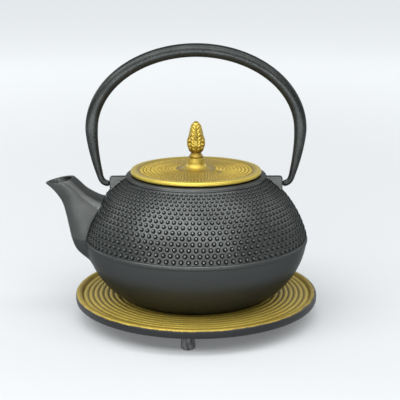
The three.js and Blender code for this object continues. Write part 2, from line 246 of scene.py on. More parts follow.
def blend_colour(tree, share, first, second):
    """A mix of two colours, or of a colour and another socket, by share."""
    node = tree.nodes.new("ShaderNodeMix")
    node.data_type = "RGBA"
    tree.links.new(share, node.inputs["Factor"])
    for socket, colour in ((node.inputs[6], first), (node.inputs[7], second)):
        if isinstance(colour, tuple):
            socket.default_value = (*colour, 1)
        else:
            tree.links.new(colour, socket)
    return node.outputs[2]


def calc(tree, operation, *values):
    """A Math node; a value is a number or a socket."""
    node = tree.nodes.new("ShaderNodeMath")
    node.operation = operation
    for i, value in enumerate(values):
        if isinstance(value, (int, float)):
            node.inputs[i].default_value = value
        else:
            tree.links.new(value, node.inputs[i])
    return node.outputs[0]


def bump(tree, shader, value, distance):
    """Lets value raise the surface by up to distance, in metres."""
    node = tree.nodes.new("ShaderNodeBump")
    node.inputs["Distance"].default_value = distance
    tree.links.new(value, node.inputs["Height"])
    tree.links.new(node.outputs["Normal"], shader.inputs["Normal"])


def dress(tree, shader, settings):
    """Sets the shader's sockets: an even number or colour directly, a pattern by a link."""
    for name, value in settings.items():
        if isinstance(value, (float, tuple)):
            shader.inputs[name].default_value = value
        else:
            tree.links.new(value, shader.inputs[name])


# %% [markdown]
# Some finishes follow the shape. The casting is turned, so a point's distance from the axis and its
# height say where on the profile it lies. The hobnails are found by how far a point stands off the
# dome's own arc, which gives, from the shape alone, a mask for their flanks, where shade is
# painted, and one for their tops, where a highlight is painted.

# %% Where a point lies on the casting
DOME = ((8.7, 25.65), 74.3)
BAND_TOP = 43.75
BAND_EDGE = (42.4, 43.6)
NAIL_RISE = 0.0182


def coordinates(tree):
    """The x, y and z sockets of a point's place on its piece, in metres."""
    place = tree.nodes.new("ShaderNodeTexCoord")
    split = tree.nodes.new("ShaderNodeSeparateXYZ")
    tree.links.new(place.outputs["Object"], split.inputs["Vector"])
    return split.outputs


def diagonal(tree, across, up):
    """The distance that two distances at right angles make together."""
    squares = [calc(tree, "MULTIPLY", side, side) for side in (across, up)]
    return calc(tree, "SQRT", calc(tree, "ADD", *squares))


def off_axis_radius(tree):
    """(distance from the pot's axis, height), in metres."""
    x, y, z = coordinates(tree)
    return diagonal(tree, calc(tree, "SUBTRACT", x, AXIS_X * MM), y), z


def on_hobnail(tree):
    """(flank_shade, top) of the hobnails, 1 there and 0 elsewhere: where shade and a highlight are
    painted.
    """
    radius, z = off_axis_radius(tree)
    across = calc(tree, "SUBTRACT", radius, DOME[0][0] * MM)
    up = calc(tree, "SUBTRACT", z, (DOME[0][1] + POT_BASE) * MM)
    lift = calc(tree, "SUBTRACT", diagonal(tree, across, up), DOME[1] * MM)
    share = calc(tree, "DIVIDE", lift, calc(tree, "MULTIPLY", radius, NAIL_RISE))
    band = (POT_BASE + BAND_TOP) * MM
    over_band = remap(tree, z, band - 0.00005, band + 0.00015)
    here = calc(tree, "MULTIPLY", remap(tree, share, 1.00, 1.05, 1.0, 0.0), over_band)
    # The hobnails' flanks get painted shade and their tops a painted highlight.
    flank_shade = calc(tree, "MULTIPLY", remap(tree, share, 0.04, 0.25), here)
    top = calc(tree, "MULTIPLY", remap(tree, share, 0.86, 0.98), here)
    return flank_shade, top


# %% [markdown]
# The pot's outside is satin black enamel over sand-cast iron. A thin dark coat over iron shines in
# its own grey and has no white gloss, so the shader is mostly metallic, with a dark tint at
# grazing angles. The colour drifts between a cooler and a warmer black. Round the foot of each
# hobnail a dark ring of shade is painted, and the enamel there is smoother; on its top a pale
# highlight is painted. The bowl under the band, which faces down, is painted darker as shade.

# %% Black enamel
# Painted shade for the bowl and for the hobnails' flanks, and a painted highlight for their tops.
BOWL_PAINTED_SHADE = (0.053, 0.057, 0.056)
NAIL_FLANK_PAINTED_SHADE = (0.016, 0.018, 0.018)
NAIL_TOP_PAINTED_HIGHLIGHT = (0.19, 0.198, 0.195)
DARK_TINT = (0.4, 0.4, 0.4, 1)
WHITE_TINT = (1, 1, 1, 1)


def black_enamel(name, dark, light, gloss, grain, waves=900, nails=False, iron=True):
    """gloss is the (lowest, highest) roughness; grain is the bump's height in metres."""
    material, tree, shader = new_material(name)
    patches = remap(tree, noise(tree, 60, 5), 0.35, 0.65)
    colour = blend_colour(tree, patches, dark, light)
    roughness = remap(tree, noise(tree, waves, 3), 0.3, 0.7, *gloss)
    if nails:
        low, high = ((POT_BASE + edge) * MM for edge in BAND_EDGE)
        # The bowl below the band faces down; its shade is painted in as a darker colour.
        below = remap(tree, off_axis_radius(tree)[1], low, high, 1.0, 0.0)
        flank_shade, top = on_hobnail(tree)
        # Paints shade on the bowl and on the hobnails' flanks, and a highlight on their tops.
        for share, paint in ((below, BOWL_PAINTED_SHADE), (flank_shade, NAIL_FLANK_PAINTED_SHADE), (top, NAIL_TOP_PAINTED_HIGHLIGHT)):
            colour = blend_colour(tree, share, colour, paint)
        roughness = calc(tree, "SUBTRACT", roughness, calc(tree, "MULTIPLY", flank_shade, 0.10))
    dress(tree, shader, {
        "Base Color": colour, "Roughness": roughness, "IOR": 1.45,
        "Metallic": 0.75 if iron else 0.0,
        "Specular Tint": DARK_TINT if iron else WHITE_TINT,
        "Specular IOR Level": 0.5 if iron else 0.3,
    })
    bump(tree, shader, noise(tree, waves, 4, 0.6), grain)
    return material


ENAMEL = black_enamel("black_enamel", (0.064, 0.068, 0.066), (0.087, 0.092, 0.089), (0.31, 0.41),
                      0.00010, nails=True)
HANDLE_ENAMEL = black_enamel("handle_enamel", (0.025, 0.027, 0.0265), (0.039, 0.042, 0.041),
                             (0.25, 0.36), 0.00012)
GLAZE = black_enamel("inner_glaze", (0.010, 0.007, 0.005), (0.020, 0.014, 0.010), (0.08, 0.14),
                     0.00004, 300, iron=False)

# %% [markdown]
# The feet are rougher iron that the enamel only thinly covers, with upright streaks where it ran.

# %% Rough foot iron
def rough_iron():
    material, tree, shader = new_material("rough_iron")
    streaks = noise(tree, 500, 5, 0.65, (1.0, 1.0, 0.25))
    share = remap(tree, streaks, 0.4, 0.62)
    dress(tree, shader, {
        "Base Color": blend_colour(tree, share, (0.045, 0.047, 0.050), (0.22, 0.22, 0.215)),
        "Roughness": remap(tree, streaks, 0.3, 0.7, 0.7, 0.4),
    })
    bump(tree, shader, streaks, 0.0005)
    return material


FOOT_IRON = rough_iron()

# %% [markdown]
# The gold is a sprayed metallic paint: a yellow body colour full of metal flakes. Flakes make a
# broad bright highlight and a fine glitter, so the shader is mostly metallic with a middling
# roughness, and a fine pattern changes both. Low parts are painted darker, as shade.

# %% Gold paint
# Besides the body colours, this table holds painted shade for the knob's hollows, the lid's field
# and the trivet's grooves, and painted highlights for the lid's rim and the crowns of the trivet's
# rings.
GOLD_HOLLOW_PAINTED_SHADE = (0.19, 0.125, 0.022)
GOLD_MID = (0.32, 0.226, 0.036)
GOLD_BRIGHT = (0.50, 0.375, 0.068)
GOLD_FIELD_PAINTED_SHADE = (0.26, 0.180, 0.032)
GOLD_RIM_PAINTED_HIGHLIGHT = (0.52, 0.40, 0.070)
GROOVE_PAINTED_SHADE = (0.070, 0.050, 0.014)
GOLD_CROWN_PAINTED_HIGHLIGHT = (0.66, 0.52, 0.115)


def gold_colour(tree, raised, low_shade=GOLD_HOLLOW_PAINTED_SHADE):
    """Gold with painted shade where raised is 0; also returns its flake pattern."""
    flakes = remap(tree, noise(tree, 1500, 3, 0.6), 0.35, 0.65)
    drift = remap(tree, noise(tree, 70, 4), 0.35, 0.65)
    body = blend_colour(tree, flakes, GOLD_MID, GOLD_BRIGHT)
    body = blend_colour(tree, calc(tree, "MULTIPLY", drift, 0.45), body, GOLD_MID)
    return blend_colour(tree, raised, low_shade, body), flakes


# %% [markdown]
# On the lid the low parts are measured from the gently domed field between the strokes and get
# painted shade, and the rim gets a painted highlight. The knob's hollows, which get painted shade
# too, lie near its axis, so distance from the axis is enough to find them.

# %% Gold of the lid and of its knob
FIELD = {"inner": 12, "outer": 41.9, "inner_z": 4.2, "outer_z": 3.0}


def lid_gold():
    material, tree, shader = new_material("lid_gold")
    radius, z = off_axis_radius(tree)
    field = remap(tree, radius, FIELD["inner"] * MM, FIELD["outer"] * MM,
                  (LID_SEAT + FIELD["inner_z"]) * MM, (LID_SEAT + FIELD["outer_z"]) * MM)
    # Painted shade on the field between the strokes.
    raised = remap(tree, calc(tree, "SUBTRACT", z, field), -0.00005, 0.00030)
    colour, flakes = gold_colour(tree, raised, GOLD_FIELD_PAINTED_SHADE)
    # Painted highlight on the rim, above its lower edge.
    rim = remap(tree, radius, 0.0436, 0.0450)
    low_edge = remap(tree, z, (LID_SEAT + 0.7) * MM, (LID_SEAT + 1.3) * MM)
    dress(tree, shader, {
        "Base Color": blend_colour(tree, calc(tree, "MULTIPLY", rim, low_edge), colour, GOLD_RIM_PAINTED_HIGHLIGHT),
        "Metallic": 0.8, "Roughness": remap(tree, flakes, 0.0, 1.0, 0.48, 0.36),
    })
    bump(tree, shader, noise(tree, 1100, 4, 0.6), 0.00010)
    return material


def knob_gold():
    material, tree, shader = new_material("knob_gold")
    radius, z = off_axis_radius(tree)
    # Painted shade in the hollows near the axis, left off near the tip.
    raised = remap(tree, radius, 0.0042, 0.0060)
    near_tip = remap(tree, z, (LID_SEAT + 26) * MM, (LID_SEAT + 30) * MM)
    colour, flakes = gold_colour(tree, calc(tree, "MAXIMUM", raised, near_tip))
    dress(tree, shader, {
        "Base Color": colour, "Metallic": 0.85,
        "Roughness": remap(tree, flakes, 0.0, 1.0, 0.36, 0.26),
    })
    bump(tree, shader, noise(tree, 1100, 4, 0.6), 0.00008)
    return material


LID_GOLD = lid_gold()
KNOB_GOLD = knob_gold()

# %% [markdown]
# The trivet is sprayed gold from above over black enamel. The paint runs over the rim and stops
# part of the way down its edge, lower on one side than on the other, and fades out in spots.
# In the grooves the gold is painted dark as shade, and on the crowns of the rings a highlight is
# painted.

# %% Trivet gold over black
RINGS_END = (0.0845, 0.0855)
PLATE_BLACK = ((0.007, 0.008, 0.009), (0.019, 0.020, 0.022))


def painted_share(tree, radius, z):
    """1 where the gold covers the trivet and 0 where its black enamel shows."""
    x, y, _ = coordinates(tree)
    lean = calc(tree, "MULTIPLY", calc(tree, "ADD", x, y), -0.004)
    ragged = calc(tree, "SUBTRACT", noise(tree, 130, 5, 0.65), 0.5)
    edge = calc(tree, "ADD", calc(tree, "ADD", z, lean), calc(tree, "MULTIPLY", ragged, 0.0014))
    limit = (TRIVET_TOP - 0.6) * MM
    on_edge = remap(tree, edge, limit - 0.0003, limit + 0.0003)
    inside = remap(tree, radius, 0.0876, 0.0870)
    above = remap(tree, z, 0.0130, 0.0135)
    return calc(tree, "MAXIMUM", on_edge, calc(tree, "MULTIPLY", inside, above))


def trivet_finish():
    material, tree, shader = new_material("trivet_gold_over_black")
    radius, z = off_axis_radius(tree)
    # Painted shade in the grooves and a painted highlight on the crowns of the rings.
    raised = remap(tree, z, (POT_BASE - 1.10) * MM, (POT_BASE - 0.40) * MM)
    gold, flakes = gold_colour(tree, raised, GROOVE_PAINTED_SHADE)
    crown_highlight = remap(tree, z, (POT_BASE - 0.45) * MM, (POT_BASE - 0.05) * MM, 0.0, 0.55)
    on_rings = remap(tree, radius, *RINGS_END, 1.0, 0.0)
    gold = blend_colour(tree, calc(tree, "MULTIPLY", crown_highlight, on_rings), gold, GOLD_CROWN_PAINTED_HIGHLIGHT)
    cover = painted_share(tree, radius, z)
    black = blend_colour(tree, noise(tree, 80, 4), *PLATE_BLACK)
    dress(tree, shader, {
        "Base Color": blend_colour(tree, cover, black, gold),
        "Metallic": calc(tree, "MULTIPLY", cover, 0.7),
        "Roughness": remap(tree, flakes, 0.0, 1.0, 0.55, 0.38), "Specular IOR Level": 0.35,
    })
    bump(tree, shader, noise(tree, 1000, 4, 0.6), 0.00014)
    return material


TRIVET_GOLD = trivet_finish()

# %% [markdown]
# The infuser is thin stainless steel, spun and lightly brushed round its axis, so its fine lines
# run level. The same steel serves for the washer and the nut under the lid.

# %% Stainless steel
def stainless(name, low, high):
    material, tree, shader = new_material(name)
    lines = noise(tree, 700, 4, 0.6, (0.12, 0.12, 2.5))
    dress(tree, shader, {
        "Base Color": blend_colour(tree, remap(tree, lines, 0.35, 0.65), low, high),
        "Metallic": 1.0, "Roughness": remap(tree, lines, 0.3, 0.7, 0.34, 0.20),
    })
    bump(tree, shader, lines, 0.00002)
    return material


STEEL = stainless("brushed_steel", (0.50, 0.51, 0.52), (0.66, 0.67, 0.68))
MESH_STEEL = stainless("mesh_steel", (0.40, 0.41, 0.42), (0.58, 0.59, 0.60))
print("finishes:", [material.name for material in bpy.data.materials])

# %% [markdown]
# ## The spout
# A spout like this is cast in one with the pot, as a hollow horn that grows out of the belly and
# narrows to an open, slanting mouth. It is lofted here through a few cross-sections, each given by
# its lowest and highest point and its half width, with a smooth curve run through them.

# %% Spout sections: low x, low z, high x, high z, half width
SPOUT = np.array([
    (-110.6, 82.9, -89.1, 87.1, 10.8),
    (-104.3, 77.2, -85.0, 83.1, 10.9),
    (-98.7, 69.3, -79.5, 77.8, 11.4),
    (-95.9, 60.3, -72.0, 73.4, 12.9),
    (-94.0, 50.8, -62.0, 68.8, 15.2),
    (-91.9, 41.3, -55.0, 58.3, 17.4),
    (-88.3, 33.3, -50.0, 45.3, 18.0),
    (-80.0, 25.5, -50.0, 33.3, 15.0),
    (-72.5, 19.0, -48.0, 25.0, 10.0),
])
SPOUT_WALL = 2.5
LIP = 1.1
TEARDROP = 0.14
SIDE_FLATNESS = 2.9
BOWL = ((27.15, 47.3), 55.1)
BAND_MIDDLE = 42


def curve_through(rows, t):
    """The Catmull-Rom curve through rows, at t from 0 to len(rows) - 1 and a little before."""
    k = int(min(max(math.floor(t), 0), len(rows) - 2))
    f = t - k
    before = rows[k - 1] if k > 0 else 2 * rows[0] - rows[1]
    after = rows[k + 2] if k + 2 < len(rows) else 2 * rows[-1] - rows[-2]
    a, b = rows[k], rows[k + 1]
    return 0.5 * (2 * a + (b - before) * f + (2 * before - 5 * a + 4 * b - after) * f ** 2
                  + (3 * a - before - 3 * b + after) * f ** 3)


def spout_ring(t, inset, around):
    """One cross-section of the spout, shrunk on all sides by inset."""
    low_x, low_z, high_x, high_z, half = curve_through(SPOUT, t)
    low, high = np.array((low_x, low_z)), np.array((high_x, high_z))
    middle, axis = (low + high) / 2, (low - high) / 2
    reach = np.linalg.norm(axis)
    axis = axis / reach * (reach - inset)
    turns = 2 * np.pi * np.arange(around) / around
    square = 2 / np.interp(t, (0, 1.2, 3), (2.0, 2.3, SIDE_FLATNESS))
    along = np.sign(np.cos(turns)) * np.abs(np.cos(turns)) ** square
    width = np.sign(np.sin(turns)) * np.abs(np.sin(turns)) ** square
    x = middle[0] + axis[0] * along
    z = middle[1] + axis[1] * along
    y = (half - inset) * width * (1 - TEARDROP * along)
    return np.stack([x, y, z], 1)


def off_belly(points):
    """How far points lie outside the belly's own surface (below 0 is inside it)."""
    r, z = np.hypot(points[:, 0], points[:, 1]), points[:, 2]
    dome = np.hypot(r - DOME[0][0], z - DOME[0][1]) - DOME[1]
    bowl = np.hypot(r - BOWL[0][0], z - BOWL[0][1]) - BOWL[1]
    return np.where(z > BAND_MIDDLE, dome, bowl)


def loft(name, rings):
    """A closed skin through rings of points in the pot's own frame."""
    count = len(rings[0])
    points = np.concatenate(rings) + (AXIS_X, 0, POT_BASE)
    numbers = [list(range(k * count, (k + 1) * count)) for k in range(len(rings))]
    faces = [tuple(reversed(numbers[0])), tuple(numbers[-1])]
    for low, high in zip(numbers, numbers[1:]):
        faces += ring_faces(low, high)
    return make_object(name, points, faces)


# %% [markdown]
# Moulders round the corner where a spout meets the belly, because a sharp inner corner would crack
# as the iron cools. The loft's skin is pushed outwards as it nears the belly, which makes that
# rounded foot. The rim of the mouth is rounded as well, half by the horn and half by its bore.

# %% Horn and bore
FILLET = 2.2
HORN_LIP = [(0.30, 0.0), (0.06, 0.0), (0.02, 0.12 * LIP), (-0.005, 0.5 * LIP), (-0.02, LIP)]
BORE_LIP = [(0.06, SPOUT_WALL), (0.03, SPOUT_WALL - 0.25), (0.0, SPOUT_WALL - 0.8), (-0.02, LIP),
            (-0.4, LIP)]


def flared(ring, within=FILLET, push=0.40 * FILLET, most=1.6):
    """A ring pushed out from its own middle where it comes near the belly."""
    near = np.clip(1 - off_belly(ring) / within, 0, most)
    away = ring - ring.mean(0)
    away /= np.linalg.norm(away, axis=1)[:, None]
    return ring + away * (push * near ** 2)[:, None]


def spout_rings(lip, start, steps, inset, around=72):
    """The sections of the horn or the bore; lip is (station, inset) from inside to the rim."""
    stations = np.linspace(start, len(SPOUT) - 1, steps * (len(SPOUT) - 1))[1:]
    rings = [spout_ring(t, shrink, around) for t, shrink in reversed(lip)]
    return rings + [spout_ring(t, inset, around) for t in stations]


horn = loft("spout_horn", [flared(ring) for ring in spout_rings(HORN_LIP, 0.3, 8, 0.0)])
print("spout horn points:", len(horn.data.vertices))

# %% [markdown]
# ## The ears
# Two short lugs stand on the shoulder and carry the handle's pins. Each is a plate with rounded
# corners that spreads a little where it grows out of the dome.

# %% Ears
EAR = {"outer": 63.4, "inner": 48.0, "top": 87.6, "bottom": 72.0, "half": 3.5, "round": 1.3}
EAR_FILLET = {"within": 1.6, "push": 0.5, "most": 1.2}


def rounded_block(x0, x1, y0, y1, radius, per_corner=5):
    """Points round a rectangle with rounded corners."""
    corners = ((x1, y1, 0), (x0, y1, 90), (x0, y0, 180), (x1, y0, 270))
    points = []
    for x, y, start in corners:
        cx = x - math.copysign(radius, x - (x0 + x1) / 2)
        cy = y - math.copysign(radius, y - (y0 + y1) / 2)
        for turn in np.radians(np.linspace(start, start + 90, per_corner)):
            points.append((cx + radius * math.cos(turn), cy + radius * math.sin(turn)))
    return np.array(points)


def ear(side):
    levels = list(np.linspace(EAR["bottom"], EAR["top"] - EAR["round"], 14))
    insets = [0.0] * len(levels)
    for turn in np.radians((30, 60, 90)):
        levels.append(EAR["top"] - EAR["round"] * (1 - math.sin(turn)))
        insets.append(EAR["round"] * (1 - math.cos(turn)))
    rings = []
    for z, inset in zip(levels, insets):
        flat = rounded_block(EAR["inner"], EAR["outer"] - 1.5 * inset, inset - EAR["half"],
                             EAR["half"] - inset, EAR["round"])
        ring = np.column_stack([flat, np.full(len(flat), z)])
        ring = flared(ring, EAR_FILLET["within"], EAR_FILLET["push"], EAR_FILLET["most"])
        if side < 0:
            ring = ring * (-1, -1, 1)
        rings.append(ring)
    return loft("ear", rings)


ears = [ear(-1), ear(1)]

# %% [markdown]
# ## The belly and its hobnails
# The belly is two arcs that meet at a raised band. Above the band stand fifteen rows of hobnails,
# a hundred to a row, each row shifted by half a step against the next. Their size follows the
# radius, so they shrink evenly towards the collar. A bump map would leave the outline smooth, so
# each hobnail is a real little dome. The ground is divided into one cell per hobnail, and every
# cell holds rings that rise to a tip. A hobnail that would stand in the foot of the spout or of an
# ear is left flat, as a pattern maker would leave it.

# %% Rows of cells up the shoulder
ROWS = 15
PER_ROW = 100
ROW_STEP = 0.0515
NAIL_WIDTH = 0.36
NAIL_HEIGHT = 0.29
NAIL_RINGS = np.radians((77, 60, 40, 20))
NAIL_TURNS = np.radians(234 + 36 * np.arange(10))
CLEAR_OF_FEET = 0.9
step_angle = 2 * math.pi / PER_ROW
theta = np.linspace(math.asin((BAND_TOP - DOME[0][1]) / DOME[1]), math.radians(60), 2000)
climb = DOME[1] / (DOME[0][0] + DOME[1] * np.cos(theta))
travel = np.concatenate([[0], np.cumsum((climb[1:] + climb[:-1]) / 2 * np.diff(theta))])


def on_dome(turn, u, lift=0.0):
    """The point at an angle round the dome and a travel up it, lifted off the ground."""
    tilt = np.interp(u, travel, theta)
    r = DOME[0][0] + (DOME[1] + lift) * np.cos(tilt)
    z = DOME[0][1] + (DOME[1] + lift) * np.sin(tilt)
    return r * np.cos(turn), r * np.sin(turn), z


def foot_of_something(x, y, z, trees):
    """True where a point lies in or just beside the foot of the spout or an ear."""
    where = Vector((x + AXIS_X, y, z + POT_BASE)) * MM
    for tree in trees:
        place, normal, _, distance = tree.find_nearest(where)
        if distance < CLEAR_OF_FEET * MM or (where - place).dot(normal) < 0:
            return True
    return False


def tree_of(thing):
    return BVHTree.FromPolygons([v.co for v in thing.data.vertices],
                                [p.vertices for p in thing.data.polygons])


# %% One hobnail in its cell
def add_hobnail(points, faces, outer, turn, u, height):
    """Fills a cell, whose ten corners are outer, with rings that rise to a tip."""
    foot = NAIL_RINGS[0]
    for polar in NAIL_RINGS:
        spread = NAIL_WIDTH * step_angle * math.sin(polar) / math.sin(foot)
        lift = height * (math.cos(polar) - math.cos(foot)) / (1 - math.cos(foot))
        inner = list(range(len(points), len(points) + len(NAIL_TURNS)))
        points.extend(zip(*on_dome(turn + spread * np.cos(NAIL_TURNS),
                                   u + spread * np.sin(NAIL_TURNS), lift)))
        faces += ring_faces(outer, inner)
        outer = inner
    points.append(on_dome(turn, u, height))
    faces += ring_faces(outer, [len(points) - 1])


def hobnail_rows(points, faces, rings):
    """Divides the shoulder between its rings into cells and fills each with a hobnail."""
    around = PER_ROW * 2
    feet = [tree_of(thing) for thing in (horn, *ears)]
    for row, (low, high) in enumerate(zip(rings, rings[1:])):
        u0 = row * ROW_STEP
        sides = []
        for i in range(PER_ROW):
            turn = (2 * i + row % 2 - 1) * step_angle / 2
            sides.append((len(points), len(points) + 1))
            points.append(on_dome(turn, u0 + ROW_STEP / 3))
            points.append(on_dome(turn, u0 + ROW_STEP * 2 / 3))
        for i in range(PER_ROW):
            start = 2 * i + row % 2 - 1
            left, middle, right = (n % around for n in (start, start + 1, start + 2))
            a, b = sides[i], sides[(i + 1) % PER_ROW]
            cell = [low[left], low[middle], low[right], b[0], b[1],
                    high[right], high[middle], high[left], a[1], a[0]]
            turn, u = (start + 1) * step_angle / 2, u0 + ROW_STEP / 2
            radius = DOME[0][0] + DOME[1] * math.cos(np.interp(u, travel, theta))
            height = NAIL_HEIGHT * radius * step_angle
            if foot_of_something(*on_dome(turn, u), feet):
                height = 0.0
            add_hobnail(points, faces, cell, turn, u, height)


# %% The outside of the pot, as one closed skin
def arc_between(centre, radius, low, high, steps=14):
    """The part of an arc between two heights."""
    ends = [math.degrees(math.asin((z - centre[1]) / radius)) for z in (low, high)]
    return arc(centre, radius, *ends, steps)


def pot_outside():
    below = [(0, 1.0), (47.6, 1.0), (48.1, 0.9), (48.7, 0.3), (49.3, 0.0), (53.6, 0.0)]
    below += arc_between(*BOWL, 0.35, 40.4, 22)
    below += [(82.1, 40.6), (82.3, 41.0), (82.34, 41.8), (82.3, 42.7), (82.1, 43.2), (81.6, 43.6)]
    above = [(51.62, 86.5), (51.5, 86.6), (51.45, 88.5), (51.2, 89.05), (50.7, 89.35), (50.0, 89.5),
             (0, 89.5)]
    shoulder = [on_dome(0.0, row * ROW_STEP)[::2] for row in range(ROWS + 1)]
    turns = np.arange(PER_ROW * 2) * step_angle / 2
    points, rings, faces = [], [], []
    for r, z in below + shoulder + above:
        first = len(points)
        count = 1 if r < 1e-6 else len(turns)
        points += [(r * math.cos(turn), r * math.sin(turn), z) for turn in turns[:count]]
        rings.append(list(range(first, first + count)))
    last = len(below) + ROWS
    for k in range(len(rings) - 1):
        if not len(below) <= k < last:
            faces += ring_faces(rings[k], rings[k + 1])
    hobnail_rows(points, faces, rings[len(below):last + 1])
    return make_object("pot_casting", np.array(points) + (AXIS_X, 0, POT_BASE), faces)


pot = pot_outside()
print("pot outside:", len(pot.data.polygons), "faces")

# %% [markdown]
# The hollow is a second turned skin that is cut away, and so are the spout's bore and the two blind
# holes for the handle's pins. Its faces keep their own material, the dark glossy glaze inside.

# %% Hollowing the pot
WALL = 3.6
FLOOR = 4.0
LEDGE = {"radius": 43.4, "depth": 0.8, "mouth": 39.2}
PIN = {"height": 82.3, "hole": 1.95, "end": 57.2}


def pot_hollow():
    dome = DOME[1] - WALL
    dome_end = DOME[0][1] + math.sqrt(dome ** 2 - (50 - DOME[0][0]) ** 2)
    mouth, ledge, seat = LEDGE["mouth"], LEDGE["radius"], LID_SEAT - POT_BASE
    ledge_z = seat - LEDGE["depth"]
    outline = [(0, FLOOR), (48, FLOOR)] + arc_between(BOWL[0], BOWL[1] - WALL, FLOOR, 39.8)
    outline += arc_between(DOME[0], dome, 43.6, dome_end)
    outline += [(48.5, 84.3), (41.0, 84.9), (39.6, 85.1), (mouth, 85.6), (mouth, ledge_z - 0.4),
                (mouth + 0.3, ledge_z), (ledge, ledge_z), (ledge, seat - 0.2),
                (ledge + 0.5, seat + 0.3), (ledge + 0.5, 92.0), (0, 92.0)]
    return turned("pot_hollow", outline, 200, height=POT_BASE)


def pin_hole(side):
    turns = 2 * np.pi * np.arange(24) / 24
    rings = []
    for x in (PIN["end"], EAR["outer"] - 0.5, EAR["outer"] + 0.6, EAR["outer"] + 4):
        radius = PIN["hole"] + (0.5 if x > EAR["outer"] else 0.0)
        rings.append(np.column_stack([np.full(24, side * x), radius * np.cos(turns),
                                      PIN["height"] + radius * np.sin(turns)]))
    return loft("pin_hole", rings)


def paint_faces(thing, index):
    """Marks all faces of a cutter, so that what it leaves behind takes that material."""
    thing.data.materials.append(None)
    thing.data.materials.append(None)
    thing.data.polygons.foreach_set("material_index", [index] * len(thing.data.polygons))


def give_finishes():
    pot.data.materials.clear()
    pot.data.materials.append(ENAMEL)
    pot.data.materials.append(GLAZE)


give_finishes()
for lug in (*ears, horn):
    combine(pot, lug, "UNION")
bore = loft("spout_bore", spout_rings(BORE_LIP, 0.06, 4, SPOUT_WALL))
for cutter, index in ((pot_hollow(), 1), (bore, 1), (pin_hole(-1), 0), (pin_hole(1), 0)):
    paint_faces(cutter, index)
    combine(pot, cutter, "DIFFERENCE")
glazed = [p.material_index == 1 for p in pot.data.polygons]
give_finishes()
pot.data.polygons.foreach_set("material_index", np.array(glazed, np.int32))
print("glazed faces:", sum(glazed), "of", len(glazed))
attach(pot, "pot")
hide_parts("pot_shell", "spout", "ear_left", "ear_right")
shade(pot, 42)

# %% [markdown]
# ## The bail handle
# The handle is one round bar, thickest at the top, where the hand holds it. It tapers down both
# legs, bends inwards over the ears and ends in two thin pins. It is a tube swept along that line.

# %% Handle
ARCH = {"z": 121.8, "half": 75.7, "height": 57.6}
LEG = {"bend": (75.5, 107.5), "end": (70.2, 87.8)}
PIN_SHOULDER = 64.4
BAR = {"top": 4.9, "leg_top": 4.55, "leg_foot": 2.3, "elbow": 2.2, "pin": 1.55}


def half_handle():
    """(x, z, radius) from the pin's end to the top of the arch, on the +X side."""
    (bend_x, bend_z), (end_x, end_z) = LEG["bend"], LEG["end"]
    pin_z = PIN["height"]
    elbow_x = end_x - (bend_x - end_x) * (end_z - pin_z) / (bend_z - end_z)
    rows = [(57.6, pin_z, 0.9), (57.9, pin_z, 1.4), (58.4, pin_z, BAR["pin"])]
    rows += [(PIN_SHOULDER - 0.7, pin_z, BAR["pin"]), (PIN_SHOULDER - 0.2, pin_z, 1.8)]
    elbow = bezier((PIN_SHOULDER, pin_z), (elbow_x, pin_z), (end_x, end_z), 14)
    rows += [(x, z, BAR["elbow"] + 0.1 * min(1, i / 6)) for i, (x, z) in enumerate(elbow)]
    leg = bezier((end_x, end_z), (bend_x, bend_z), (ARCH["half"], ARCH["z"]), 20)[1:]
    for i, (x, z) in enumerate(leg):
        share = (z - end_z) / (ARCH["z"] - end_z)
        rows.append((x, z, BAR["leg_foot"] + (BAR["leg_top"] - BAR["leg_foot"]) * share ** 0.9))
    for turn in np.radians(np.linspace(0, 90, 31)[1:]):
        radius = BAR["leg_top"] + (BAR["top"] - BAR["leg_top"]) * math.sin(turn)
        x, z = ARCH["half"] * math.cos(turn), ARCH["z"] + ARCH["height"] * math.sin(turn)
        rows.append((x, z, radius))
    return rows


def handle_bar(sides=32):
    right = half_handle()
    path = np.array(right + [(-x, z, radius) for x, z, radius in right[-2::-1]])
    turns = 2 * np.pi * np.arange(sides) / sides
    rings = []
    for i, (x, z, radius) in enumerate(path):
        before, after = path[max(i - 1, 0)], path[min(i + 1, len(path) - 1)]
        run = np.array((after[0] - before[0], after[1] - before[1]))
        run /= np.linalg.norm(run)
        across = np.array((-run[1], run[0]))
        ring = np.column_stack([x + across[0] * radius * np.cos(turns), radius * np.sin(turns),
                                z + across[1] * radius * np.cos(turns)])
        rings.append(ring)
    return loft("handle_bar", rings)


handle = shade(handle_bar(), 50)
finish(handle, "handle", HANDLE_ENAMEL, "handle_iron", "handle")

# %% [markdown]
# ## The lid
# The lid is a flat disc with a smooth raised rim. Its field carries rings of short raised strokes
# that point at the middle. The three outer rings line up, and further in every other ring is turned
# by half a stroke. The middle swells up into a boss for the knob. The strokes are little closed
# shapes that are joined to the disc. They could be a bump, but they catch light on their flanks,
# and a bump has none.

# %% Lid disc
LID_RIM = 47.8
BOSS = {"radius": 6.9, "foot": 8.4, "top": 12.3}
HOLE = {"x": 14.0, "y": -10.7, "radius": 1.6, "clear": 3.0}


def field_height(r):
    """The height of the lid's field at a radius."""
    return np.interp(r, (FIELD["inner"], FIELD["outer"]), (FIELD["inner_z"], FIELD["outer_z"]))


def lid_disc():
    outline = [(2.3, 0), (33, 0), (33, -6.8), (33.4, -7.2), (36.0, -7.2), (36.4, -6.8), (36.4, 0)]
    outline += [(43.8, 0), (43.8, 0.8), (47.1, 0.8), (47.6, 1.0), (LID_RIM, 1.5), (LID_RIM, 2.3)]
    outline += arc((46.5, 2.4), 1.3, 5, 80, 6)
    outline += [(45.6, 3.75), (44.4, 3.7), (43.4, 3.55), (42.6, 3.2), (42.1, 2.98)]
    outline += [(r, field_height(r)) for r in np.linspace(41.5, 13.5, 14)]
    outline += bezier((12.6, 4.2), (8.0, 4.6), (BOSS["radius"], BOSS["foot"]), 9)
    outline += [(BOSS["radius"], 11.7), (6.75, 12.1), (6.4, BOSS["top"]), (2.3, BOSS["top"])]
    return turned("lid_casting", outline, 192, closed=True, height=LID_SEAT)


